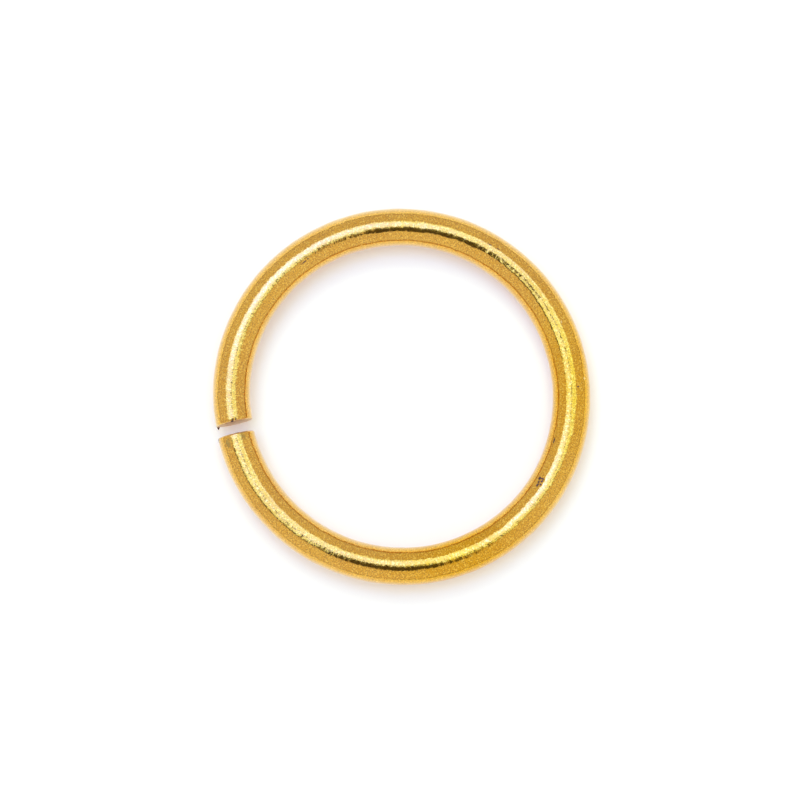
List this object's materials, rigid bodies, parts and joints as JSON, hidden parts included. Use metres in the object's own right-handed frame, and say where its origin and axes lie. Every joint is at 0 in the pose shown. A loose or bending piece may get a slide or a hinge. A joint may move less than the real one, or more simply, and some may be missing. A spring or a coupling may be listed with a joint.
{
  "type": "open key ring",
  "caption": "Open ring of round gold-plated wire with one narrow gap. It is twisted open sideways to take keys, links or straps, then closed again.",
  "frame": {"origin": "centre of the ring, in the middle of the wire's thickness", "axes": "+Z along the ring's axis, up from the surface it lies on; the gap is at -X and the back of the ring at +X"},
  "size_m": [0.025, 0.025, 0.0024],
  "materials": {
    "gold_plated_wire": "polished gold plating over drawn brass wire, with fine draw marks and small pits"
  },
  "bodies": {
    "lower_arm": {"lower_wire_arm": "gold_plated_wire"},
    "upper_arm": {"upper_wire_arm": "gold_plated_wire"}
  },
  "joints": [
    {"name": "gap_twist", "type": "hinge", "parent": "lower_arm", "child": "upper_arm", "pos_m": [0.01125, 0, 0], "axis": [0, 1, 0], "range_deg": [0, 20]}
  ]
}
